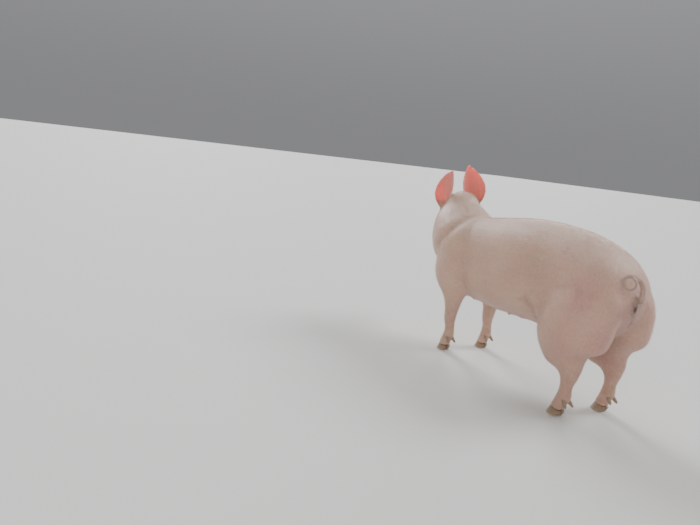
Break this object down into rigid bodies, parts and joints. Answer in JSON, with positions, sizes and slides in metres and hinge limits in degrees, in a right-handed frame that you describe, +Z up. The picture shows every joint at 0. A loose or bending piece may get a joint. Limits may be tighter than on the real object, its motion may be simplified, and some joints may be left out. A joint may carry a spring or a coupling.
{
  "type": "pig",
  "caption": "Young white pig as a still, life-size model, standing with its head turned to its right, ears pricked and tail curled.",
  "frame": {"origin": "centre of the bounding box at the floor, under the belly", "axes": "+X to the animal's left, -Y the way that its trunk faces, +Z up; the soles stand on Z = 0"},
  "size_m": [0.319, 0.9436, 0.6314],
  "materials": {
    "skin": "pale pink skin with short white bristles",
    "eye": "dark, wet and glossy",
    "horn": "satin horn"
  },
  "bodies": {
    "root": {"trunk": "skin", "neck": "skin", "head": "skin", "snout": "skin", "ear_left": "skin", "ear_right": "skin", "tail": "skin", "foreleg_left": "skin", "foreleg_right": "skin", "hind_leg_left": "skin", "hind_leg_right": "skin", "eye_left": "eye", "eye_right": "eye", "claw_fore_left_inner": "horn", "claw_fore_left_outer": "horn", "claw_fore_right_inner": "horn", "claw_fore_right_outer": "horn", "claw_hind_left_inner": "horn", "claw_hind_left_outer": "horn", "claw_hind_right_inner": "horn", "claw_hind_right_outer": "horn", "dewclaw_fore_left_inner": "horn", "dewclaw_fore_left_outer": "horn", "dewclaw_fore_right_inner": "horn", "dewclaw_fore_right_outer": "horn", "dewclaw_hind_left_inner": "horn", "dewclaw_hind_left_outer": "horn", "dewclaw_hind_right_inner": "horn", "dewclaw_hind_right_outer": "horn"}
  },
  "joints": []
}
